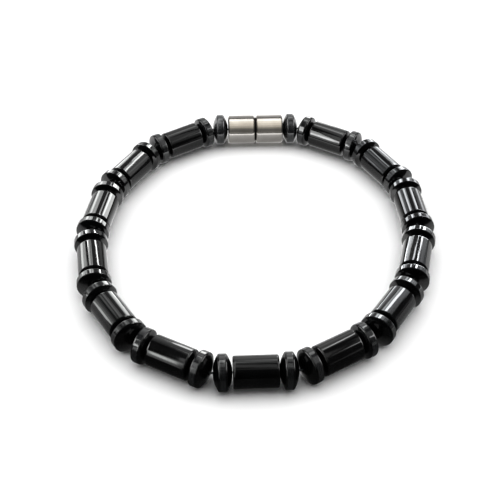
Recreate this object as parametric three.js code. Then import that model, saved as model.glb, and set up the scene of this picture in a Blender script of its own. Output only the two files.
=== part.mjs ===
// A magnetic bracelet: 13 tube beads and 28 disc beads of black hematite on a wire, closed by a
// clasp of two steel cylinders. It lies flat in an oval loop, clasp at the back.
// Millimetres, +Z up. The bracelet's box is centred on X = 0, Y = 0, and its discs rest on Z = 0.
import * as THREE from 'three';

// Driving dimensions
const TUBE_COUNT = 13;
const TUBE_LENGTH = 8.0;
const TUBE_DIAMETER = 5.75;
const TUBE_CHAMFER = 0.3;
const DISC_DIAMETER = 6.6;
const DISC_THICKNESS = 3.3;
const DISC_RIM_WIDTH = 1.45;
const DISC_FACE_DIAMETER = 1.9;
// Height of the swell in the middle of a disc's bevel
const DISC_DOME = 0.14;
const DRILL_DIAMETER = 1.0;
const CLASP_HALF_LENGTH = 5.95;
const CLASP_DIAMETER = 6.3;
const CLASP_CHAMFER = 0.22;
const CLASP_BORE_DEPTH = 3.0;
const CLASP_GAP = 0.3;
// A disc sits close against the tube or clasp beside it, and the string bends between two discs
const SEAT_GAP = 0.1;
const BEND_GAP = 0.7;
const WIRE_DIAMETER = 0.4;
const WIRE_END_CLEARANCE = 0.4;

// Shape of the loop, as shares of its mean radius: how much it is deeper than wide, how much it
// leans, how much it is rounded like a triangle (to one side and to the back) and like a square
const LOOP_DEEPER = 0.071;
const LOOP_LEAN = 0.024;
const LOOP_EGG_SIDE = 0.002;
const LOOP_EGG_BACK = 0.008;
const LOOP_SQUARE = 0.004;

// Fineness of the round pieces
const BEAD_SIDES = 16;
const WIRE_SIDES = 8;

const STONE = { color: 0x17181b, roughness: 0.08, metalness: 0.85 };
const STEEL = { color: 0xd9d4cc, roughness: 0.14, metalness: 1.0 };
const WIRE = { color: 0x9a9da1, roughness: 0.35, metalness: 0.9 };

const BACK = Math.PI / 2;
const FULL_TURN = 2 * Math.PI;
const SOLVE_STEPS = 50;
const AXIS_HEIGHT = DISC_DIAMETER / 2;
const CLASP_LENGTH = 2 * CLASP_HALF_LENGTH + CLASP_GAP;
// A polygon's flats lie at the true radius and its corners just outside it
const TO_CORNER = 1 / Math.cos(Math.PI / BEAD_SIDES);

const bracelet = new THREE.Group();
bracelet.name = 'magnetic_bracelet';

// Point on the loop for an angle measured from +X, counter-clockwise seen from above
function loopPoint(angle, meanRadius) {
  const shape = 1 - LOOP_DEEPER * Math.cos(2 * angle) + LOOP_LEAN * Math.sin(2 * angle)
    + LOOP_EGG_SIDE * Math.cos(3 * angle) + LOOP_EGG_BACK * Math.sin(3 * angle)
    - LOOP_SQUARE * Math.cos(4 * angle);
  return new THREE.Vector2(Math.cos(angle), Math.sin(angle)).multiplyScalar(meanRadius * shape);
}

// Root of a rising function between two limits, by halving
function solve(rising, low, high) {
  for (let step = 0; step < SOLVE_STEPS; step += 1) {
    const middle = (low + high) / 2;
    if (rising(middle) < 0) low = middle;
    else high = middle;
  }
  return (low + high) / 2;
}

// Angle at which a straight unit ends that starts on the loop and spans the given length
function endAngle(start, length, meanRadius) {
  const from = loopPoint(start, meanRadius);
  const reach = (angle) => loopPoint(angle, meanRadius).distanceTo(from) - length;
  return solve(reach, start, start + FULL_TURN / 4);
}

// Spans of the straight units in order. Each is the clasp or a tube with a disc at either end,
// and half a bend gap beyond each disc.
function unitSpans() {
  const ends = 2 * (SEAT_GAP + DISC_THICKNESS) + BEND_GAP;
  return [CLASP_LENGTH + ends, ...Array(TUBE_COUNT).fill(TUBE_LENGTH + ends)];
}

// Angles of the bends between the units, starting where the clasp's unit starts
function bendAngles(spans, meanRadius) {
  const claspEnd = (start) => start + endAngle(start, spans[0], meanRadius) - 2 * BACK;
  const angles = [solve(claspEnd, BACK / 2, BACK)];
  for (const span of spans) {
    angles.push(endAngle(angles[angles.length - 1], span, meanRadius));
  }
  return angles;
}

// Bends of the closed string: the mean radius is the one at which the last unit meets the first
function closedBends(spans) {
  const round = spans.reduce((sum, span) => sum + span, 0) / FULL_TURN;
  const overshoot = (meanRadius) => {
    const angles = bendAngles(spans, meanRadius);
    return angles[0] + FULL_TURN - angles[angles.length - 1];
  };
  const meanRadius = solve(overshoot, round / 2, round * 2);
  return bendAngles(spans, meanRadius).map((angle) => {
    const point = loopPoint(angle, meanRadius);
    return new THREE.Vector3(point.x, point.y, AXIS_HEIGHT);
  });
}

// Body turned about its own Y axis from pairs of radius and place along the axis.
// The last pair joins up with the first unless both lie on the axis.
function turned(pairs) {
  const onAxis = pairs[0][0] === 0;
  const outline = pairs.map(([radius, along]) => new THREE.Vector2(radius * TO_CORNER, along));
  if (!onAxis) outline.push(outline[0].clone());
  const body = new THREE.LatheGeometry(outline, BEAD_SIDES);
  body.rotateY(Math.PI / BEAD_SIDES);
  return body;
}

function tubeGeometry() {
  const hole = DRILL_DIAMETER / 2;
  const radius = TUBE_DIAMETER / 2;
  const end = TUBE_LENGTH / 2;
  return turned([
    [hole, -end], [radius - TUBE_CHAMFER, -end], [radius, -end + TUBE_CHAMFER],
    [radius, end - TUBE_CHAMFER], [radius - TUBE_CHAMFER, end], [hole, end],
  ]);
}

function discGeometry() {
  const hole = DRILL_DIAMETER / 2;
  const face = DISC_FACE_DIAMETER / 2;
  const rim = DISC_DIAMETER / 2;
  const thick = DISC_THICKNESS / 2;
  const edge = DISC_RIM_WIDTH / 2;
  const domeRadius = (face + rim) / 2;
  const domeHeight = (thick + edge) / 2 + DISC_DOME;
  return turned([
    [hole, -thick], [face, -thick], [domeRadius, -domeHeight], [rim, -edge],
    [rim, edge], [domeRadius, domeHeight], [face, thick], [hole, thick],
  ]);
}

// A clasp half points its magnet face along +Y and takes the wire in a blind bore at -Y
function claspGeometry() {
  const bore = DRILL_DIAMETER / 2;
  const radius = CLASP_DIAMETER / 2;
  const end = CLASP_HALF_LENGTH / 2;
  return turned([
    [0, -end + CLASP_BORE_DEPTH], [bore, -end + CLASP_BORE_DEPTH], [bore, -end],
    [radius - CLASP_CHAMFER, -end], [radius, -end + CLASP_CHAMFER],
    [radius, end - CLASP_CHAMFER], [radius - CLASP_CHAMFER, end], [0, end],
  ]);
}

// Path of the wire: straight from bend to bend, so its steps fall on the bends
class BentPath extends THREE.Curve {
  constructor(points) {
    super();
    this.points = points;
  }

  getPointAt(u) {
    const place = u * (this.points.length - 1);
    const index = Math.min(Math.floor(place), this.points.length - 2);
    return this.points[index].clone().lerp(this.points[index + 1], place - index);
  }

  getTangentAt(u) {
    const index = Math.round(u * (this.points.length - 1));
    const here = this.points[index];
    const before = this.points[Math.max(index - 1, 0)];
    const after = this.points[Math.min(index + 1, this.points.length - 1)];
    const incoming = here.clone().sub(before).normalize();
    return incoming.add(after.clone().sub(here).normalize()).normalize();
  }
}

function wireGeometry(points) {
  const section = new THREE.Shape();
  for (let i = 0; i < WIRE_SIDES; i += 1) {
    const angle = (i * FULL_TURN) / WIRE_SIDES;
    const x = (WIRE_DIAMETER / 2) * Math.cos(angle);
    const y = (WIRE_DIAMETER / 2) * Math.sin(angle);
    if (i === 0) section.moveTo(x, y);
    else section.lineTo(x, y);
  }
  section.closePath();
  return new THREE.ExtrudeGeometry(section, {
    steps: points.length - 1, extrudePath: new BentPath(points), bevelEnabled: false,
  });
}

// Adds a turned piece with its middle at a place and its own Y axis along a level direction
function addAlong(name, geometry, look, middle, direction) {
  const mesh = new THREE.Mesh(geometry, new THREE.MeshStandardMaterial(look));
  const up = new THREE.Vector3(0, 0, 1);
  const side = new THREE.Vector3().crossVectors(direction, up);
  mesh.name = name;
  mesh.quaternion.setFromRotationMatrix(new THREE.Matrix4().makeBasis(side, direction, up));
  mesh.position.copy(middle);
  bracelet.add(mesh);
}

function numbered(stem, number) {
  return `${stem}_${String(number).padStart(2, '0')}`;
}

// Both halves of the clasp about one middle, with the string's direction pointing to the left
function addClasp(middle, direction) {
  const shift = (CLASP_HALF_LENGTH + CLASP_GAP) / 2;
  const geometry = claspGeometry();
  const left = middle.clone().addScaledVector(direction, shift);
  const right = middle.clone().addScaledVector(direction, -shift);
  addAlong('clasp_half_left', geometry, STEEL, left, direction.clone().negate());
  addAlong('clasp_half_right', geometry, STEEL, right, direction);
}

// Every unit on the straight line between its two bends: the clasp's first, then the tubes'
function addUnits(bends) {
  const tube = tubeGeometry();
  const disc = discGeometry();
  for (let i = 0; i <= TUBE_COUNT; i += 1) {
    const middle = bends[i].clone().add(bends[i + 1]).multiplyScalar(0.5);
    const direction = bends[i + 1].clone().sub(bends[i]).normalize();
    const core = i === 0 ? CLASP_LENGTH : TUBE_LENGTH;
    const shift = (core + DISC_THICKNESS) / 2 + SEAT_GAP;
    const before = middle.clone().addScaledVector(direction, -shift);
    const after = middle.clone().addScaledVector(direction, shift);
    if (i === 0) addClasp(middle, direction);
    else addAlong(numbered('tube_bead', i), tube, STONE, middle, direction);
    addAlong(numbered('disc_bead', i === 0 ? 2 * TUBE_COUNT + 2 : 2 * i), disc, STONE, before, direction);
    addAlong(numbered('disc_bead', 2 * i + 1), disc, STONE, after, direction);
  }
}

// The wire runs from the bore of the left half through every bead to the bore of the right half
function addWire(bends) {
  const [claspRight, claspLeft] = bends;
  const inward = claspRight.clone().sub(claspLeft).normalize();
  const toBore = BEND_GAP / 2 + DISC_THICKNESS + SEAT_GAP;
  const reach = toBore + CLASP_BORE_DEPTH - WIRE_END_CLEARANCE;
  const start = claspLeft.clone().addScaledVector(inward, reach);
  const finish = claspRight.clone().addScaledVector(inward, -reach);
  const route = [start, ...bends.slice(1), finish];
  const mesh = new THREE.Mesh(wireGeometry(route), new THREE.MeshStandardMaterial(WIRE));
  mesh.name = 'stringing_wire';
  bracelet.add(mesh);
}

const bends = closedBends(unitSpans());
addUnits(bends);
addWire(bends);

const middle = new THREE.Box3().setFromObject(bracelet, true).getCenter(new THREE.Vector3());
bracelet.position.set(-middle.x, -middle.y, 0);

export default bracelet;
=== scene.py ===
# Looks of a magnetic bracelet: polished black stone beads on a wire, and a bright clasp.
# Metres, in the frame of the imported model: +Z up, the clasp at the back (+Y).
import math

import bmesh
import bpy
from mathutils import Matrix, Vector


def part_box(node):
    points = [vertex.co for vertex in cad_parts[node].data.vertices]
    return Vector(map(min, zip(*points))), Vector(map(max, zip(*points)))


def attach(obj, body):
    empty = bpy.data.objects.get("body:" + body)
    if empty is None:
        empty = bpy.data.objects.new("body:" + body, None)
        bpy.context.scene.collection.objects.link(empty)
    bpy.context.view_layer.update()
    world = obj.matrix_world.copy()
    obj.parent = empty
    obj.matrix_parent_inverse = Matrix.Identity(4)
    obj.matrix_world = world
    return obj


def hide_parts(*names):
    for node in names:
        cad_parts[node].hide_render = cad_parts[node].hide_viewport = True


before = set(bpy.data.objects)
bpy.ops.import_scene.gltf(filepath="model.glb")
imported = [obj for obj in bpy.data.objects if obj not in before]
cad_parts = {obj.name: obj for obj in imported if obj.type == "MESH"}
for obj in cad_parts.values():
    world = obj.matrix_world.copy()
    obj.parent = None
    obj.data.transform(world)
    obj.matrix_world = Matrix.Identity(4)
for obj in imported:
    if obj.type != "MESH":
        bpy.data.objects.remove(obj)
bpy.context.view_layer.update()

MM = 0.001
UP = Vector((0, 0, 1))

# The tubes are counted from the clasp's left end, round the front, to its right end
TUBE_COUNT = 13
DISC_COUNT = 28
LEFT_TUBES = range(2, 6)
RIGHT_TUBES = range(9, 13)

# Sizes of the pieces in millimetres, the same as in the model
TUBE_LENGTH = 8.0
TUBE_RADIUS = 5.75 / 2
DISC_RADIUS = 6.6 / 2
DISC_THICKNESS = 3.3
DISC_RIM_WIDTH = 1.45
DISC_FACE_RADIUS = 1.9 / 2
DISC_DOME = 0.14
HOLE_RADIUS = 0.5
CLASP_LENGTH = 5.95
CLASP_RADIUS = 6.3 / 2
CLASP_BORE_DEPTH = 3.0
SEAT_GAP = 0.1
BEND_GAP = 0.7
WIRE_RADIUS = 0.2
WIRE_END_CLEARANCE = 0.4

# Finer detail in millimetres, which only this scene shows
TUBE_END_ROUNDING = 0.32
DISC_EDGE_ROUNDING = 0.35
HOLE_ROUNDING = 0.07
CLASP_EDGE_ROUNDING = 0.38
MAGNET_RADIUS = 2.6
MAGNET_STANDS_PROUD = 0.11
MAGNET_ROUNDING = 0.04
WIRE_STRANDS = 6
WIRE_TWIST_PITCH = 2.6

# Fineness of the round pieces
ROUND_SEGMENTS = 96
ARC_STEPS = 5
BEVEL_STEPS = 10
STEPS_PER_TWIST = 9

# The arc of a rounded edge has a holding point beyond each end, at this many times its reach
ARC_HOLD = 1.35
# Radius in millimetres at which the flat end of a bore or a barrel closes over its axis
AXIS_RADIUS = 0.02
# Margins in millimetres for telling which faces belong to the magnet and to the rim
MAGNET_DEPTH_MARGIN = 0.02
MAGNET_RADIUS_MARGIN = 0.05
RIM_MARGIN = 0.004


# Helpers for turned pieces

def rounded_profile(corners):
    """Profile through (radius, along, rounding) corners, each rounded by an arc of that size."""
    points = []
    count = len(corners)
    for index, (radius, along, rounding) in enumerate(corners):
        here = Vector((radius, along))
        if rounding <= 0:
            points.append(here)
            continue
        before = Vector(corners[index - 1][:2])
        after = Vector(corners[(index + 1) % count][:2])
        points += corner_arc(here, before, after, rounding)
    return points


def corner_arc(here, before, after, rounding):
    """Arc that rounds one corner, with a holding point on the straight part at each end."""
    to_before = (before - here).normalized()
    to_after = (after - here).normalized()
    half = to_before.angle(to_after) / 2
    reach = rounding / math.tan(half)
    centre = here + (to_before + to_after).normalized() * (rounding / math.sin(half))
    start = here + to_before * reach - centre
    finish = here + to_after * reach - centre
    arc = [here + to_before * reach * ARC_HOLD]
    for step in range(ARC_STEPS + 1):
        share = step / ARC_STEPS
        arc.append(centre + start.slerp(finish, share).normalized() * rounding)
    arc.append(here + to_after * reach * ARC_HOLD)
    return arc


def turned_mesh(name, profile, closed):
    """Mesh turned about the local Y axis, in metres; an open profile is closed on the axis."""
    shape = bmesh.new()
    rings = [turned_ring(shape, radius, along) for radius, along in profile]
    pairs = list(zip(rings[:-1], rings[1:]))
    if closed:
        pairs.append((rings[-1], rings[0]))
    else:
        shape.faces.new(rings[0])
        shape.faces.new(rings[-1])
    for low, high in pairs:
        for step in range(ROUND_SEGMENTS):
            after = (step + 1) % ROUND_SEGMENTS
            shape.faces.new((low[step], low[after], high[after], high[step]))
    bmesh.ops.recalc_face_normals(shape, faces=shape.faces)
    for face in shape.faces:
        face.smooth = len(face.verts) == 4
    mesh = bpy.data.meshes.new(name)
    shape.to_mesh(mesh)
    shape.free()
    keep_own_places(mesh)
    return mesh


def turned_ring(shape, radius, along):
    """Ring of points about the local Y axis, from a radius and a place along it."""
    ring = []
    for step in range(ROUND_SEGMENTS):
        angle = 2 * math.pi * step / ROUND_SEGMENTS
        place = (radius * math.cos(angle), along, radius * math.sin(angle))
        ring.append(shape.verts.new(Vector(place) * MM))
    return ring


def keep_own_places(mesh):
    """Stores each point's place in the piece itself, for the finish to follow."""
    own = mesh.attributes.new("own_place", "FLOAT_VECTOR", "POINT")
    for index, point in enumerate(mesh.vertices):
        own.data[index].vector = point.co


def along_string(middle, direction):
    """Placement with local Y along the string and local Z straight up."""
    side = direction.cross(UP)
    turn = Matrix((side, direction, UP)).transposed().to_4x4()
    return Matrix.Translation(middle) @ turn


def place_piece(name, mesh, placement, node):
    """Puts a turned piece in its place on the string, where it stands for a node of the model."""
    mesh.transform(placement)
    piece = bpy.data.objects.new(name, mesh)
    bpy.context.scene.collection.objects.link(piece)
    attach(piece, "root")
    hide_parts(node)
    return piece


# Where the pieces lie

def centre_of(node):
    """Middle of a node of the model."""
    low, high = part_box(node)
    return (low + high) / 2


def unit_discs(number):
    """The discs before and after the tube of that number, or the clasp for 0."""
    before = 2 * number or DISC_COUNT
    return [f"disc_bead_{before:02d}", f"disc_bead_{2 * number + 1:02d}"]


def unit_directions():
    """Direction of the string through the clasp and through each tube in turn."""
    directions = []
    for number in range(TUBE_COUNT + 1):
        before, after = unit_discs(number)
        directions.append((centre_of(after) - centre_of(before)).normalized())
    return directions


def string_bends(directions):
    """Points between two discs where the string bends, from the clasp's left to its right."""
    reach = (DISC_THICKNESS + BEND_GAP) / 2 * MM
    bends = []
    for number, direction in enumerate(directions):
        last = unit_discs(number)[1]
        bends.append(centre_of(last) + direction * reach)
    return bends


# Shader helpers

# Inputs of the polish marks and what they are where a finish doesn't set them
POLISH_INPUTS = {
    "Wave scale": 260.0, "Line scale": 2600.0, "Base roughness": 0.05, "Roughness spread": 0.05,
}
# The fine lines are drawn out round the piece, and are this deep beside the soft waves
LINE_STRETCH = (0.12, 1.0, 0.12)
LINE_DEPTH = 0.04
# Values of the clouding between which a finish goes from its dark tone to its light one
TINT_RANGE = (0.35, 0.65)


def new_material(name):
    """Material with its nodes, its links and its main shader."""
    material = bpy.data.materials.new(name)
    material.use_nodes = True
    nodes = material.node_tree.nodes
    return material, nodes, material.node_tree.links, nodes["Principled BSDF"]


def feed(links, value, socket):
    """Sets a socket to a number or a vector, or links it to another socket."""
    if isinstance(value, (int, float, tuple)):
        socket.default_value = value
    else:
        links.new(value, socket)


def math_node(nodes, links, operation, first, second):
    """Math node on two sockets or numbers; returns its output."""
    node = nodes.new("ShaderNodeMath")
    node.operation = operation
    feed(links, first, node.inputs[0])
    feed(links, second, node.inputs[1])
    return node.outputs[0]


def vector_node(nodes, links, operation, place, other):
    """Vector node on a place and a vector or socket; returns its output."""
    node = nodes.new("ShaderNodeVectorMath")
    node.operation = operation
    feed(links, place, node.inputs[0])
    feed(links, other, node.inputs[1])
    return node.outputs["Vector"]


def noise(nodes, links, place, scale, detail):
    """Noise that varies with a place; returns its output."""
    node = nodes.new("ShaderNodeTexNoise")
    node.inputs["Detail"].default_value = detail
    feed(links, place, node.inputs["Vector"])
    feed(links, scale, node.inputs["Scale"])
    return node.outputs["Fac"]


def ranged(nodes, links, value, start, finish):
    """A value taken from one range to another; returns the output."""
    node = nodes.new("ShaderNodeMapRange")
    node.inputs["From Min"].default_value, node.inputs["From Max"].default_value = start
    node.inputs["To Min"].default_value, node.inputs["To Max"].default_value = finish
    links.new(value, node.inputs["Value"])
    return node.outputs["Result"]


def grey_ramp(nodes, links, value, stops):
    """Grey that follows a value through stops of (value, grey); returns the output."""
    low, high = stops[0][0], stops[-1][0]
    ramp = nodes.new("ShaderNodeValToRGB")
    elements = ramp.color_ramp.elements
    for index, (place, grey) in enumerate(stops):
        position = (place - low) / (high - low)
        stop = elements[index] if index < 2 else elements.new(position)
        stop.position = position
        stop.color = (grey, grey, grey, 1)
    links.new(ranged(nodes, links, value, (low, high), (0, 1)), ramp.inputs["Fac"])
    return ramp.outputs["Color"]


def shader_by_ray(nodes, links, ray, others, seen):
    """A shader that one kind of ray sees, and another for all other rays; returns the output."""
    path = nodes.new("ShaderNodeLightPath")
    choose = nodes.new("ShaderNodeMixShader")
    links.new(path.outputs[ray], choose.inputs[0])
    links.new(others, choose.inputs[1])
    links.new(seen, choose.inputs[2])
    return choose.outputs[0]


def polish_group():
    """Marks of a tumbled polish: soft waves, and fine lines that run round the piece."""
    group = bpy.data.node_groups.new("Polish marks", "ShaderNodeTree")
    face = group.interface
    face.new_socket("Vector", in_out="INPUT", socket_type="NodeSocketVector")
    for name, value in POLISH_INPUTS.items():
        socket = face.new_socket(name, in_out="INPUT", socket_type="NodeSocketFloat")
        socket.default_value = value
    for name in ("Height", "Roughness", "Clouding"):
        face.new_socket(name, in_out="OUTPUT", socket_type="NodeSocketFloat")

    nodes, links = group.nodes, group.links
    entry = nodes.new("NodeGroupInput").outputs
    leave = nodes.new("NodeGroupOutput").inputs
    waves = noise(nodes, links, entry["Vector"], entry["Wave scale"], detail=1.0)
    drawn_out = vector_node(nodes, links, "MULTIPLY", entry["Vector"], LINE_STRETCH)
    lines = noise(nodes, links, drawn_out, entry["Line scale"], detail=3.0)
    fine = math_node(nodes, links, "MULTIPLY", lines, LINE_DEPTH)
    spread = math_node(nodes, links, "MULTIPLY", lines, entry["Roughness spread"])
    links.new(math_node(nodes, links, "ADD", waves, fine), leave["Height"])
    links.new(math_node(nodes, links, "ADD", entry["Base roughness"], spread), leave["Roughness"])
    links.new(waves, leave["Clouding"])
    return group


def own_grain(nodes, links):
    """Coordinates of the piece itself, shifted so that no two pieces have the same marks."""
    place = nodes.new("ShaderNodeAttribute")
    place.attribute_name = "own_place"
    info = nodes.new("ShaderNodeObjectInfo")
    return vector_node(nodes, links, "ADD", place.outputs["Vector"], info.outputs["Random"])


def curve_grain(nodes, links):
    """Coordinates for a piece made as a curve, which has no stored places."""
    return nodes.new("ShaderNodeTexCoord").outputs["Object"]


def tint(nodes, links, factor, tones):
    """Colour that goes from a dark tone to a light one as the factor rises."""
    ramp = nodes.new("ShaderNodeValToRGB")
    elements = ramp.color_ramp.elements
    for index, (position, tone) in enumerate(zip(TINT_RANGE, tones)):
        elements[index].position = position
        elements[index].color = (*tone, 1)
    links.new(factor, ramp.inputs["Fac"])
    return ramp.outputs["Color"]


def marked_finish(name, group, values, wave_depth, tones, grain=own_grain):
    """Material whose colour, roughness and normal follow the polish marks, and its shader."""
    material, nodes, links, shader = new_material(name)
    marks = nodes.new("ShaderNodeGroup")
    marks.node_tree = group
    links.new(grain(nodes, links), marks.inputs["Vector"])
    for label, value in values.items():
        marks.inputs[label].default_value = value
    links.new(marks.outputs["Roughness"], shader.inputs["Roughness"])
    bump = nodes.new("ShaderNodeBump")
    bump.inputs["Distance"].default_value = wave_depth * MM
    links.new(marks.outputs["Height"], bump.inputs["Height"])
    links.new(bump.outputs["Normal"], shader.inputs["Normal"])
    colour = tint(nodes, links, marks.outputs["Clouding"], tones)
    links.new(colour, shader.inputs["Base Color"])
    return material, shader


# Finishes: the dark and the light tone of each, the depth of its waves in millimetres, and how
# strongly the stone mirrors

STONE_TONES = ((0.0022, 0.0023, 0.0025), (0.0045, 0.0047, 0.005))
STONE_WAVE_DEPTH = 0.012
STONE_IOR = 2.0
STEEL_TONES = ((0.70, 0.675, 0.64), (0.80, 0.775, 0.74))
STEEL_WAVE_DEPTH = 0.01
WIRE_TONES = ((0.42, 0.43, 0.45), (0.55, 0.56, 0.58))
WIRE_WAVE_DEPTH = 0.003
MAGNET_TONES = ((0.012, 0.012, 0.013), (0.03, 0.03, 0.03))

# Ground stone: its tones as shares of its grey. The grey differs from place to place on the string
# as painted sheen, lighter at the ends and beside the clasp than at the sides, over the ground
# finish's own grey
GROUND_DARK = (0.72, 0.75, 0.79)
GROUND_LIGHT = (1.24, 1.28, 1.34)
GROUND_IOR = 2.3
# Painted sheen: rims at the ends and discs beside the clasp get a lighter grey than rims at the
# sides, standing in for the light that they mirror
SIDE_RIM_SHEEN_GREY = 0.009
END_RIM_SHEEN_GREY = 0.022
CLASP_DISC_SHEEN_GREY = 0.043

# Table: its white, and the painted greys with which it glows for the beads' reflections alone, by
# the place from front to back in metres, outside the loop and inside it. This painted reflection
# is darker in front, and holds painted shade of the beads inside the loop at the back
TABLE_WHITE = 0.86
TABLE_OUTSIDE = (
    (-0.045, 0.05), (-0.034, 0.05), (-0.022, 0.33), (-0.01, 0.47), (0.005, 0.75), (0.02, 0.72),
    (0.033, 0.6), (0.046, 1.0),
)
TABLE_INSIDE = (
    (-0.034, 0.4), (-0.022, 0.45), (-0.01, 0.85), (0.005, 1.05), (0.02, 0.42), (0.033, 0.26),
)
# Half the loop's width and depth in metres, and where its edge begins and ends as shares of them
LOOP_HALF_WIDTH = 0.031
LOOP_HALF_DEPTH = 0.036
LOOP_EDGE = (0.95, 1.05)


def black_stone(name, group):
    """Polished black stone with faint clouds."""
    values = {"Wave scale": 240.0, "Base roughness": 0.03, "Roughness spread": 0.05}
    material, shader = marked_finish(name, group, values, STONE_WAVE_DEPTH, STONE_TONES)
    shader.inputs["IOR"].default_value = STONE_IOR
    return material


def ground_stone_with_sheen(name, group, grey):
    """The same stone where it is ground: brighter than elsewhere, and about as grey as given. The
    grey is set per place on the string, partly the ground finish and partly painted sheen.
    """
    values = {"Wave scale": 400.0, "Base roughness": 0.03, "Roughness spread": 0.05}
    tones = [[grey * share for share in shares] for shares in (GROUND_DARK, GROUND_LIGHT)]
    material, shader = marked_finish(name, group, values, STONE_WAVE_DEPTH, tones)
    shader.inputs["IOR"].default_value = GROUND_IOR
    return material


def bright_steel(name, group):
    """Warm bright plating of the clasp."""
    values = {"Wave scale": 300.0, "Base roughness": 0.08, "Roughness spread": 0.1}
    material, shader = marked_finish(name, group, values, STEEL_WAVE_DEPTH, STEEL_TONES)
    shader.inputs["Metallic"].default_value = 1.0
    return material


def wire_steel(name, group):
    """Drawn steel of the wire's strands."""
    values = {"Wave scale": 900.0, "Base roughness": 0.28, "Roughness spread": 0.15}
    material, shader = marked_finish(name, group, values, WIRE_WAVE_DEPTH, WIRE_TONES,
                                     curve_grain)
    shader.inputs["Metallic"].default_value = 1.0
    return material


def dark_magnet(name):
    """Nearly black plating of the magnet faces, a little mottled."""
    material, nodes, links, shader = new_material(name)
    mottle = noise(nodes, links, own_grain(nodes, links), scale=900.0, detail=2.0)
    links.new(tint(nodes, links, mottle, MAGNET_TONES), shader.inputs["Base Color"])
    shader.inputs["Roughness"].default_value = 0.5
    return material


def table_finish(name):
    """Plain matt white to the camera and the lamps. To mirror rays it glows as a painted
    reflection, darker in front and with painted shade in the middle at the back.
    """
    material, nodes, links, shader = new_material(name)
    shader.inputs["Base Color"].default_value = (TABLE_WHITE, TABLE_WHITE, TABLE_WHITE, 1)
    shader.inputs["Roughness"].default_value = 0.9
    shader.inputs["Specular IOR Level"].default_value = 0.0
    # Painted reflection: mirror rays see the table glow with these greys instead of its lit white
    painted_reflection_glow = nodes.new("ShaderNodeEmission")
    links.new(painted_reflection_greys(nodes, links), painted_reflection_glow.inputs["Color"])
    surface = shader_by_ray(nodes, links, "Is Glossy Ray", shader.outputs["BSDF"],
                            painted_reflection_glow.outputs["Emission"])
    links.new(surface, nodes["Material Output"].inputs["Surface"])
    return material


def painted_reflection_greys(nodes, links):
    """Painted greys with which the table glows for mirror rays, standing in for its reflection;
    returns the output.
    """
    place = nodes.new("ShaderNodeNewGeometry").outputs["Position"]
    split = nodes.new("ShaderNodeSeparateXYZ")
    links.new(place, split.inputs[0])
    grey = nodes.new("ShaderNodeMix")
    grey.data_type = "RGBA"
    links.new(beyond_loop(nodes, links, place), grey.inputs["Factor"])
    inside = grey_ramp(nodes, links, split.outputs["Y"], TABLE_INSIDE)
    outside = grey_ramp(nodes, links, split.outputs["Y"], TABLE_OUTSIDE)
    links.new(inside, grey.inputs["A"])
    links.new(outside, grey.inputs["B"])
    return grey.outputs["Result"]


def beyond_loop(nodes, links, place):
    """0 inside the loop of beads and 1 outside it; returns the output."""
    squeeze = (1 / LOOP_HALF_WIDTH, 1 / LOOP_HALF_DEPTH, 0.0)
    reach = nodes.new("ShaderNodeVectorMath")
    reach.operation = "LENGTH"
    links.new(vector_node(nodes, links, "MULTIPLY", place, squeeze), reach.inputs[0])
    return ranged(nodes, links, reach.outputs["Value"], LOOP_EDGE, (0, 1))


# Pieces

def tube_profile():
    """Plain tube with rounded ends and a drilled hole."""
    end = TUBE_LENGTH / 2
    return rounded_profile([
        (HOLE_RADIUS, -end, HOLE_ROUNDING), (TUBE_RADIUS, -end, TUBE_END_ROUNDING),
        (TUBE_RADIUS, end, TUBE_END_ROUNDING), (HOLE_RADIUS, end, HOLE_ROUNDING),
    ])


def disc_profile():
    """Flat rim, a gently swelling bevel on each side and a small flat face round the hole."""
    thick = DISC_THICKNESS / 2
    edge = DISC_RIM_WIDTH / 2
    swell = bevel_swell(thick, edge)
    far_side = [(radius, along, 0) for radius, along in reversed(swell)]
    near_side = [(radius, -along, 0) for radius, along in swell]
    return rounded_profile([
        (HOLE_RADIUS, -thick, HOLE_ROUNDING), *near_side,
        (DISC_RADIUS, -edge, DISC_EDGE_ROUNDING), (DISC_RADIUS, edge, DISC_EDGE_ROUNDING),
        *far_side, (HOLE_RADIUS, thick, HOLE_ROUNDING),
    ])


def bevel_swell(thick, edge):
    """Points of one bevel, from the face round the hole to where the rim's rounding begins."""
    points = []
    for step in range(BEVEL_STEPS - 1):
        share = step / BEVEL_STEPS
        radius = DISC_FACE_RADIUS + (DISC_RADIUS - DISC_FACE_RADIUS) * share
        along = thick + (edge - thick) * share
        swell = DISC_DOME * math.sin(math.pi * share)
        points.append((radius, along + swell))
    return points


def clasp_profile():
    """A solid barrel with a blind bore for the wire at -Y and the magnet face at +Y."""
    end = CLASP_LENGTH / 2
    floor = -end + CLASP_BORE_DEPTH
    magnet = end + MAGNET_STANDS_PROUD
    return rounded_profile([
        (AXIS_RADIUS, floor, 0), (HOLE_RADIUS, floor, 0), (HOLE_RADIUS, -end, HOLE_ROUNDING),
        (CLASP_RADIUS, -end, CLASP_EDGE_ROUNDING), (CLASP_RADIUS, end, CLASP_EDGE_ROUNDING),
        (MAGNET_RADIUS, end, 0), (MAGNET_RADIUS, magnet, MAGNET_ROUNDING),
        (AXIS_RADIUS, magnet, 0),
    ])


def darken_magnet(mesh, material):
    """Gives the magnet face of a barrel, still lying along its own Y axis, its dark finish."""
    mesh.materials.append(material)
    depth = (CLASP_LENGTH / 2 - MAGNET_DEPTH_MARGIN) * MM
    radius = (MAGNET_RADIUS + MAGNET_RADIUS_MARGIN) * MM
    for face in mesh.polygons:
        if face.center.y > depth and face.center.xz.length < radius:
            face.material_index = 1


def finish_rim_with_sheen(mesh, material):
    """Gives the rim of a disc, still lying along its own Y axis, its ground finish with painted
    sheen.
    """
    mesh.materials.append(material)
    limit = (DISC_RADIUS - RIM_MARGIN) * MM
    for face in mesh.polygons:
        if face.center.xz.length > limit:
            face.material_index = 1


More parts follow.
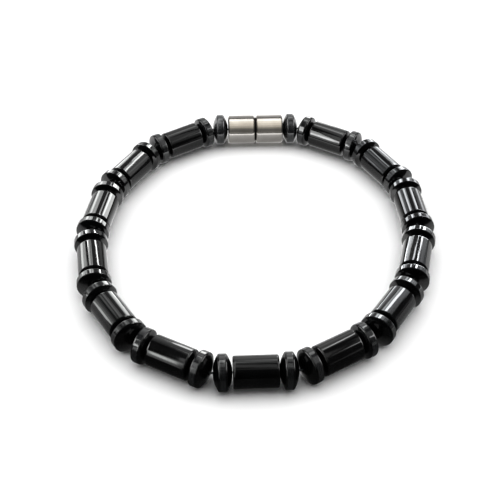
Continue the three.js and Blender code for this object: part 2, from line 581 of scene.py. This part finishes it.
def make_bead(node, profile, direction, stone, rim=None):
    """Turns one bead of stone, with a ground rim if it has one, and puts it on the string."""
    name = "polished_" + node.replace("_bead", "")
    mesh = turned_mesh(name, profile, closed=True)
    mesh.materials.append(stone)
    if rim:
        finish_rim_with_sheen(mesh, rim)
    placement = along_string(centre_of(node), direction)
    return place_piece(name, mesh, placement, node)


def side_of(number):
    """Side of the bracelet on which a tube lies, or both ends of the loop."""
    if number in LEFT_TUBES:
        return "left"
    return "right" if number in RIGHT_TUBES else "ends"


def light_group(number):
    """Table of softboxes that a tube and its discs mirror: their own, or that of their side."""
    own = f"{side_of(number)} {number}"
    return own if own in SOFTBOXES else side_of(number)


def make_beads(directions, stone, rims):
    """Makes every bead; returns the beads of each group of lights as a collection.

    The discs beside the clasp have the finish of their rims all over, painted sheen included.
    """
    groups = {group: bpy.data.collections.new(f"Beads {group}") for group in SOFTBOXES}
    for number, direction in enumerate(directions):
        # The rim's grey by place on the string is painted sheen over the ground finish
        rim = rims[side_of(number)] if number else rims["clasp"]
        body = stone if number else rim
        beads = [make_bead(disc, disc_profile(), direction, body, rim)
                 for disc in unit_discs(number)]
        if number:
            tube = f"tube_bead_{number:02d}"
            beads.append(make_bead(tube, tube_profile(), direction, stone))
        for bead in beads:
            groups[light_group(number)].objects.link(bead)
    return groups


def make_clasp(leftward, steel, magnet):
    """Two barrels whose magnet faces meet in the middle."""
    barrels = bpy.data.collections.new("Clasp barrels")
    for side, direction in (("left", -leftward), ("right", leftward)):
        name = f"clasp_barrel_{side}"
        node = f"clasp_half_{side}"
        mesh = turned_mesh(name, clasp_profile(), closed=False)
        mesh.materials.append(steel)
        darken_magnet(mesh, magnet)
        placement = along_string(centre_of(node), direction)
        barrels.objects.link(place_piece(name, mesh, placement, node))
    return barrels


def wire_route(directions):
    """Route of the wire from the bore of the left barrel, through all bends, to the other bore."""
    leftward = directions[0]
    bends = string_bends(directions)
    to_bore = BEND_GAP / 2 + DISC_THICKNESS + SEAT_GAP
    reach = (to_bore + CLASP_BORE_DEPTH - WIRE_END_CLEARANCE) * MM
    return [bends[0] - leftward * reach, *bends, bends[-1] + leftward * reach]


def stepped(route, step):
    """Places and directions along a route, at even steps."""
    places = []
    for before, after in zip(route[:-1], route[1:]):
        length = (after - before).length
        count = max(1, round(length / step))
        for index in range(count):
            places.append(before.lerp(after, index / count))
    places.append(route[-1])
    directions = []
    for index in range(len(places)):
        before = places[max(index - 1, 0)]
        after = places[min(index + 1, len(places) - 1)]
        directions.append((after - before).normalized())
    return places, directions


def wind_strand(curve, number, winding, places, directions):
    """Adds one strand to the wire, wound at a radius round the places along the route."""
    line = curve.splines.new("POLY")
    line.points.add(len(places) - 1)
    travelled = 0.0
    for index, (place, direction) in enumerate(zip(places, directions)):
        if index:
            travelled += (place - places[index - 1]).length
        turn = travelled / (WIRE_TWIST_PITCH * MM) + number / WIRE_STRANDS
        angle = 2 * math.pi * turn
        side = direction.cross(UP).normalized()
        offset = side * math.cos(angle) + UP * math.sin(angle)
        line.points[index].co = (*(place + offset * winding), 1)


def make_wire(route, steel):
    """Stranded wire: thin strands wound round each other along the route."""
    strand = WIRE_RADIUS / (1 + 1 / math.sin(math.pi / WIRE_STRANDS)) * MM
    places, directions = stepped(route, WIRE_TWIST_PITCH / STEPS_PER_TWIST * MM)
    curve = bpy.data.curves.new("strung_wire", "CURVE")
    curve.dimensions = "3D"
    curve.bevel_depth = strand
    curve.bevel_resolution = 1
    curve.use_fill_caps = True
    curve.materials.append(steel)
    for number in range(WIRE_STRANDS):
        wind_strand(curve, number, WIRE_RADIUS * MM - strand, places, directions)
    wire = bpy.data.objects.new("strung_wire", curve)
    bpy.context.scene.collection.objects.link(wire)
    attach(wire, "root")
    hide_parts("stringing_wire")


# Studio

# Metres from the middle of the table to its edge, and from the bracelet to a light
TABLE_HALF = 0.6
LIGHT_DISTANCE = 1.5

# Softboxes that the polish mirrors, each seen by the beads of one side or by one tube and its
# discs: degrees round from the back and up, width and height in degrees, lean, brightness
# and distance in metres
SOFTBOXES = {
    "left": (
        (24.3, -13.3, 10.9, 86.7, 16, 1.51, 2.50),
        (39.1, 19.3, 7.8, 36.1, 30, 3.09, 0.22),
        (28.4, 46.5, 12.5, 8.2, 14, 5.38, 1.05),
        (-24.7, 18.7, 12.5, 37.4, -11, 1.62, 2.50),
        (-27.2, 39.1, 17.6, 8.2, -2, 1.72, 0.25),
        (-43.3, 12.5, 17.8, 28.1, -18, 0.99, 0.70),
        (-78.0, 25.9, 19.2, 37.7, -20, 0.21, 2.31),
        (20.4, 45.1, 10.8, 13.2, 17, 1.84, 0.66),
        (64.6, 45.0, 23.4, 48.7, 39, 0.52, 0.22),
        (14.2, -0.2, 3.5, 48.8, 24, 4.44, 0.75),
        (-88.2, 9.6, 3.2, 12.3, -1, 2.12, 0.22),
        (9.1, 46.3, 9.3, 1.5, 28, 3.19, 2.07),
        (38.2, 26.1, 7.7, 9.6, 8, 2.46, 0.79),
        (-47.4, 45.5, 7.1, 7.6, 0, 0.62, 0.77),
        (-77.8, 20.6, 8.4, 11.0, -5, 0.60, 0.81),
        (-11.0, 47.6, 7.0, 8.1, -9, 0.51, 0.90),
        (28.4, 29.3, 6.6, 10.0, -17, 4.51, 0.79),
        (-31.0, 21.3, 8.5, 12.7, 9, 1.26, 0.78),
        (-25.4, 45.1, 9.2, 11.2, -6, 0.90, 0.87),
        (-24.0, 2.8, 6.2, 9.0, -1, 3.33, 0.82),
        (79.5, 15.6, 6.1, 9.5, 16, 0.41, 0.80),
        (13.4, 13.5, 8.0, 14.9, 0, 1.15, 0.81),
        (-75.3, 30.8, 8.3, 8.3, 3, 0.20, 0.84),
        (45.8, 51.9, 14.0, 6.2, -12, 4.15, 0.78),
        (-19.2, 15.6, 7.0, 10.1, 1, 0.60, 0.80),
        (67.9, 33.6, 7.4, 9.9, 1, 0.26, 0.81),
        (32.6, 34.5, 4.8, 9.3, -1, 0.33, 0.80),
        (-53.4, 42.7, 5.7, 8.8, -3, 0.27, 0.78),
        (-36.0, 48.5, 6.4, 9.0, 0, 0.33, 0.80),
        (-57.1, 41.5, 6.7, 8.9, -2, 0.18, 0.80),
    ),
    "left 4": (
        (28.9, 24.5, 36.3, 1.5, -37, 7.82, 2.50),
        (-27.2, 20.3, 14.8, 40.9, -15, 2.39, 2.50),
        (-51.5, 8.0, 18.6, 25.7, 68, 1.10, 0.77),
        (-50.9, 48.1, 55.9, 11.3, 13, 1.31, 1.86),
        (-46.0, 34.8, 5.0, 10.8, 52, 0.47, 0.76),
        (-47.3, 4.7, 15.4, 15.8, -2, 1.95, 0.52),
        (-11.6, 44.1, 4.0, 6.4, 35, 0.50, 0.83),
        (26.4, 30.7, 5.7, 8.4, -7, 7.55, 0.62),
        (-19.8, 45.9, 13.5, 10.8, -3, 1.16, 0.81),
        (-35.0, 32.9, 1.7, 8.6, -32, 8.89, 0.63),
        (-46.7, 21.1, 11.4, 8.1, 5, 1.20, 0.87),
        (-46.8, 17.6, 14.5, 10.4, 12, 0.44, 0.76),
        (-45.8, 28.6, 3.8, 9.3, 2, 1.23, 0.82),
        (-46.5, 29.4, 6.8, 4.4, 7, 0.47, 0.84),
        (29.0, 15.3, 6.5, 5.1, 8, 0.17, 0.80),
        (30.3, 8.6, 7.6, 6.6, -22, 0.12, 0.85),
    ),
    "right": (
        (33.0, -6.7, 17.1, 83.9, 32, 1.30, 2.50),
        (17.5, 34.0, 8.3, 5.2, -38, 4.09, 2.50),
        (46.1, 22.3, 8.8, 37.2, 36, 4.17, 0.27),
        (-26.9, 17.7, 11.4, 39.7, -3, 2.73, 2.50),
        (-27.6, 39.1, 23.0, 10.6, -22, 1.44, 1.01),
        (-46.3, 15.2, 11.4, 27.4, 51, 2.56, 0.45),
        (-79.2, 26.6, 11.4, 40.1, -23, 0.41, 2.29),
        (21.4, 38.9, 4.5, 10.0, -28, 1.49, 0.22),
        (-53.0, 51.3, 54.9, 7.5, 18, 0.42, 1.84),
        (38.6, 3.0, 9.0, 16.8, 15, 1.29, 0.72),
        (-39.1, 17.3, 4.5, 26.8, -24, 0.49, 0.70),
        (-16.1, 50.1, 1.6, 21.0, 60, 2.08, 0.59),
        (34.3, 16.5, 14.3, 13.1, -5, 0.28, 0.79),
        (-77.9, 17.4, 1.5, 9.5, -20, 1.06, 0.65),
        (23.9, 21.1, 7.0, 16.3, 14, 4.76, 0.80),
        (-45.3, 45.6, 11.7, 10.2, 5, 0.29, 0.85),
        (19.2, 7.1, 6.7, 10.1, -2, 2.08, 0.75),
        (-71.7, 25.3, 6.1, 13.1, -9, 0.27, 0.82),
        (-43.2, 49.4, 5.9, 9.7, 7, 0.28, 0.82),
        (-59.8, 46.3, 6.6, 15.2, 17, 0.23, 0.84),
        (28.4, 18.1, 5.4, 12.4, 8, 1.08, 0.80),
        (-42.3, 21.5, 6.2, 8.8, 0, 0.57, 0.81),
        (-69.3, 33.8, 5.8, 8.4, 0, 0.11, 0.81),
    ),
    "right 9": (
        (26.7, 47.4, 17.7, 4.9, -8, 5.30, 0.39),
        (43.8, 52.6, 7.4, 4.9, 38, 1.17, 0.30),
        (-27.4, -0.4, 2.5, 24.6, -82, 10.25, 2.43),
        (0.2, 45.7, 18.4, 19.7, -5, 1.58, 1.77),
        (72.2, 5.1, 12.9, 12.4, -46, 1.98, 0.80),
        (-1.9, 22.3, 26.4, 10.9, 59, 0.28, 0.22),
        (-2.2, 7.2, 8.1, 15.6, 21, 0.94, 0.22),
        (41.9, 44.8, 14.8, 8.9, 28, 0.89, 0.70),
        (6.9, 34.1, 19.7, 5.7, 52, 0.19, 0.26),
        (80.3, 7.4, 11.2, 7.1, 36, 0.17, 0.77),
        (3.5, 35.5, 13.4, 4.4, -30, 0.32, 0.74),
        (56.8, 41.1, 8.4, 8.3, 18, 0.79, 0.50),
        (68.9, 37.1, 12.5, 5.5, 4, 0.10, 0.32),
        (63.9, 38.4, 4.4, 8.9, 20, 0.57, 0.78),
        (26.0, 46.6, 6.4, 9.2, -19, 0.73, 0.84),
        (-4.9, 44.0, 17.8, 8.4, -43, 1.29, 0.22),
        (67.9, 32.4, 4.9, 4.5, 45, 0.76, 0.68),
        (-12.1, 13.1, 6.3, 4.9, 43, 0.54, 0.82),
        (-11.9, 0.5, 13.3, 12.5, 44, 2.91, 0.72),
    ),
    "right 10": (
        (15.7, 33.4, 12.3, 10.3, -22, 9.63, 2.50),
        (46.7, 19.8, 8.9, 35.8, 26, 7.06, 0.22),
        (10.5, 41.7, 13.1, 1.5, 1, 4.41, 0.22),
        (58.8, 32.8, 24.8, 60.0, 24, 0.39, 0.22),
        (-17.2, 2.3, 6.3, 23.5, 44, 5.37, 2.45),
        (-25.2, 2.3, 3.8, 10.6, -13, 7.48, 0.29),
        (-7.0, 20.2, 7.0, 21.5, 32, 4.01, 0.65),
        (36.6, 40.9, 5.2, 3.3, -37, 14.53, 0.25),
        (-18.9, 18.0, 7.7, 9.1, 0, 0.77, 0.82),
        (47.0, 25.5, 7.6, 11.2, 2, 0.45, 0.81),
        (38.7, 29.0, 4.5, 8.6, 0, 3.74, 0.74),
        (-23.1, 15.1, 7.5, 8.4, -1, 1.38, 0.80),
        (50.5, 15.3, 6.2, 9.8, 7, 0.40, 0.79),
        (-18.0, 20.4, 5.5, 9.2, -5, 1.66, 0.80),
        (-18.0, 22.7, 5.3, 7.8, 0, 0.26, 0.79),
        (-21.2, 24.1, 6.3, 8.4, 0, 0.30, 0.81),
        (-24.4, 15.2, 6.7, 8.3, 0, 0.80, 0.81),
    ),
    "ends": (
        (-150.7, 31.9, 44.2, 43.7, 3, 0.41, 2.50),
        (-71.6, 75.2, 10.6, 88.2, -86, 0.39, 2.50),
        (15.2, 49.5, 2.9, 22.1, -20, 1.62, 0.22),
        (97.7, 49.6, 38.2, 12.1, -39, 0.18, 0.22),
        (-128.1, 18.6, 2.9, 38.6, -7, 0.61, 2.50),
        (14.5, -37.3, 7.7, 120.0, 10, 2.63, 0.70),
        (12.9, 58.3, 38.5, 6.3, 63, 0.47, 2.50),
        (-116.0, 41.0, 35.5, 7.6, 59, 2.12, 0.22),
        (85.8, 69.1, 13.6, 86.5, 57, 0.28, 2.50),
        (112.1, 88.0, 60.2, 7.2, -43, 0.30, 2.50),
        (-85.8, 86.9, 6.0, 79.6, 84, 1.04, 2.50),
        (120.6, -0.4, 7.7, 81.5, 16, 0.18, 2.50),
        (6.5, 22.9, 92.2, 24.6, -53, 0.21, 0.22),
        (-112.5, 57.5, 2.8, 21.3, -34, 0.56, 2.50),
        (-127.5, 24.8, 1.6, 15.4, -11, 1.88, 2.20),
        (156.9, 64.5, 16.1, 14.0, -14, 0.14, 0.89),
        (17.9, 54.7, 6.7, 11.3, -16, 0.20, 1.61),
    ),
}

# Faint colour of the light on each side
SIDE_COLOURS = {"left": (0.985, 1.0, 0.99), "right": (0.95, 0.975, 1.0), "ends": (0.99, 1.0, 0.99)}

# Boxes to the left and right of the bracelet, which only the rounded edges and the bevels of the
# beads at its two ends mirror
SIDE_BOXES = (
    (-78, 32, 44, 40, 0, 1.6, 1.5),
    (78, 32, 44, 40, 0, 1.6, 1.5),
)

# Lights over the bracelet that only the table shows: degrees round and up, width and height in
# degrees, lean and brightness. The broad dim one softens the shadows at the sides.
CEILING_LIGHTS = (
    (0, 78, 136, 76, 0, 1.25),
    (0, 90, 150, 150, 0, 0.23),
)

# Cards over the clasp: degrees up from the back, height in degrees, brightness and colour
CLASP_CARDS = (
    (64, 24, 0.96, (1.0, 0.99, 0.97)),
    (86, 20, 0.70, (1.0, 0.96, 0.88)),
    (106, 20, 0.56, (1.0, 0.95, 0.86)),
    (124, 16, 0.40, (1.0, 0.95, 0.86)),
    (138, 12, 0.22, (1.0, 0.96, 0.88)),
    (158, 28, 0.13, (1.0, 0.98, 0.94)),
    (176, 8, 0.24, (1.0, 0.98, 0.94)),
)
CARD_WIDTH = 60

# Greys of the studio round the bracelet, from the front (-1) to the back (1)
STUDIO_GREYS = ((-1.0, 0.005), (-0.4, 0.05), (0.1, 0.075), (0.6, 0.04), (1.0, 0.44))

# The photograph's view: degrees down, round from straight back and of roll, the place that it
# looks at and the distance in millimetres, and the focal length in pixels of its frame
CAMERA_DOWN = 41.526
CAMERA_ROUND = 0.4041
CAMERA_ROLL = 0.5024
CAMERA_TARGET = (-1.1913, -4.8921, 3.3)
CAMERA_DISTANCE = 195.8776
FOCAL_PIXELS = 1002.8476
FRAME_PIXELS = 500
SENSOR_WIDTH = 36
# Metres from the camera at which it begins to see
NEAREST_SEEN = 0.01


def make_table(finish):
    """Square table under the bracelet."""
    shape = bmesh.new()
    corners = ((-1, -1, 0), (1, -1, 0), (1, 1, 0), (-1, 1, 0))
    shape.faces.new([shape.verts.new(Vector(corner) * TABLE_HALF) for corner in corners])
    mesh = bpy.data.meshes.new("pale_table")
    shape.to_mesh(mesh)
    shape.free()
    table = bpy.data.objects.new("pale_table", mesh)
    bpy.context.scene.collection.objects.link(table)
    mesh.materials.append(finish)


def view_axes(azimuth, elevation, lean):
    """Directions outward, to the right and up, for degrees round from +Y, up and of lean."""
    turn, rise, lean = (math.radians(value) for value in (azimuth, elevation, lean))
    outward = Vector((math.sin(turn) * math.cos(rise), math.cos(turn) * math.cos(rise),
                      math.sin(rise)))
    level = Vector((math.cos(turn), -math.sin(turn), 0))
    upright = level.cross(outward)
    right = level * math.cos(lean) + upright * math.sin(lean)
    top = upright * math.cos(lean) - level * math.sin(lean)
    return outward, right, top


def softbox(name, azimuth, elevation, width, height, lean, glow, distance=LIGHT_DISTANCE):
    """Flat light seen from the bracelet under the given degrees, as bright as glow."""
    light = bpy.data.lights.new(name, "AREA")
    light.shape = "RECTANGLE"
    light.size = 2 * distance * math.tan(math.radians(width) / 2)
    light.size_y = 2 * distance * math.tan(math.radians(height) / 2)
    light.energy = glow * math.pi * light.size * light.size_y
    lamp = bpy.data.objects.new(name, light)
    bpy.context.scene.collection.objects.link(lamp)
    outward, right, top = view_axes(azimuth, elevation, lean)
    turn = Matrix((-right, top, outward)).transposed().to_4x4()
    lamp.matrix_world = Matrix.Translation(outward * distance) @ turn
    lamp.visible_diffuse = False
    lamp.visible_camera = False
    return lamp


def make_bead_lights(groups):
    """The softboxes that the beads mirror, each shown to its own beads alone."""
    for group, boxes in SOFTBOXES.items():
        for number, values in enumerate(boxes, 1):
            lamp = softbox(f"Softbox {group} {number:02d}", *values)
            lamp.data.color = SIDE_COLOURS[group.split()[0]]
            lamp.light_linking.receiver_collection = groups[group]
    for number, values in enumerate(SIDE_BOXES, 1):
        lamp = softbox(f"Side box {number}", *values)
        lamp.light_linking.receiver_collection = groups["ends"]


def make_ceiling():
    """The lights that brighten the table and cast the soft shadows."""
    for number, values in enumerate(CEILING_LIGHTS, 1):
        ceiling = softbox(f"Ceiling {number}", *values)
        ceiling.visible_diffuse = True
        ceiling.visible_glossy = False


def make_clasp_cards(barrels):
    """Warm cards over the clasp, seen by its two barrels alone."""
    for number, (elevation, height, glow, colour) in enumerate(CLASP_CARDS, 1):
        card = softbox(f"Clasp card {number}", 0, elevation, CARD_WIDTH, height, 0, glow)
        card.data.color = colour
        card.light_linking.receiver_collection = barrels


def make_surroundings():
    """Dim studio, brightest behind the bracelet and dark behind the camera.

    The camera itself sees a white backdrop, so the table has no visible edge.
    """
    world = bpy.data.worlds.new("Studio")
    world.use_nodes = True
    nodes, links = world.node_tree.nodes, world.node_tree.links
    place = nodes.new("ShaderNodeTexCoord")
    split = nodes.new("ShaderNodeSeparateXYZ")
    links.new(place.outputs["Generated"], split.inputs[0])
    dim = nodes["Background"]
    links.new(grey_ramp(nodes, links, split.outputs["Y"], STUDIO_GREYS), dim.inputs["Color"])
    backdrop = nodes.new("ShaderNodeBackground")
    backdrop.inputs["Color"].default_value = (1, 1, 1, 1)
    surface = shader_by_ray(nodes, links, "Is Camera Ray", dim.outputs[0], backdrop.outputs[0])
    links.new(surface, nodes["World Output"].inputs["Surface"])
    bpy.context.scene.world = world


def make_camera():
    """The photograph's view, from the front and above."""
    forward, right, top = view_axes(CAMERA_ROUND, -CAMERA_DOWN, CAMERA_ROLL)
    eye = (Vector(CAMERA_TARGET) - forward * CAMERA_DISTANCE) * MM
    data = bpy.data.cameras.new("Camera")
    data.sensor_width = SENSOR_WIDTH
    data.lens = SENSOR_WIDTH * FOCAL_PIXELS / FRAME_PIXELS
    data.clip_start = NEAREST_SEEN
    camera = bpy.data.objects.new("Camera", data)
    bpy.context.scene.collection.objects.link(camera)
    turn = Matrix((right, top, -forward)).transposed().to_4x4()
    camera.matrix_world = Matrix.Translation(eye) @ turn
    bpy.context.scene.camera = camera


def make_bracelet():
    """Makes every piece; returns the beads by their group of lights, and the clasp's barrels."""
    group = polish_group()
    side_rim = ground_stone_with_sheen("Stone rim with painted sheen at the sides", group, SIDE_RIM_SHEEN_GREY)
    rims = {
        "left": side_rim, "right": side_rim,
        "ends": ground_stone_with_sheen("Stone rim with painted sheen at the ends", group, END_RIM_SHEEN_GREY),
        "clasp": ground_stone_with_sheen("Ground stone with painted sheen beside the clasp", group, CLASP_DISC_SHEEN_GREY),
    }
    directions = unit_directions()
    beads = make_beads(directions, black_stone("Polished black stone", group), rims)
    barrels = make_clasp(directions[0], bright_steel("Bright clasp steel", group),
                         dark_magnet("Dark magnet face"))
    make_wire(wire_route(directions), wire_steel("Wire steel", group))
    return beads, barrels


def make_studio(beads, barrels):
    """Table, lights, surroundings and camera."""
    make_table(table_finish("Matt white table"))
    make_bead_lights(beads)
    make_ceiling()
    make_clasp_cards(barrels)
    make_surroundings()
    make_camera()
    view = bpy.context.scene.view_settings
    view.view_transform = "Standard"
    view.look = "High Contrast"


make_studio(*make_bracelet())
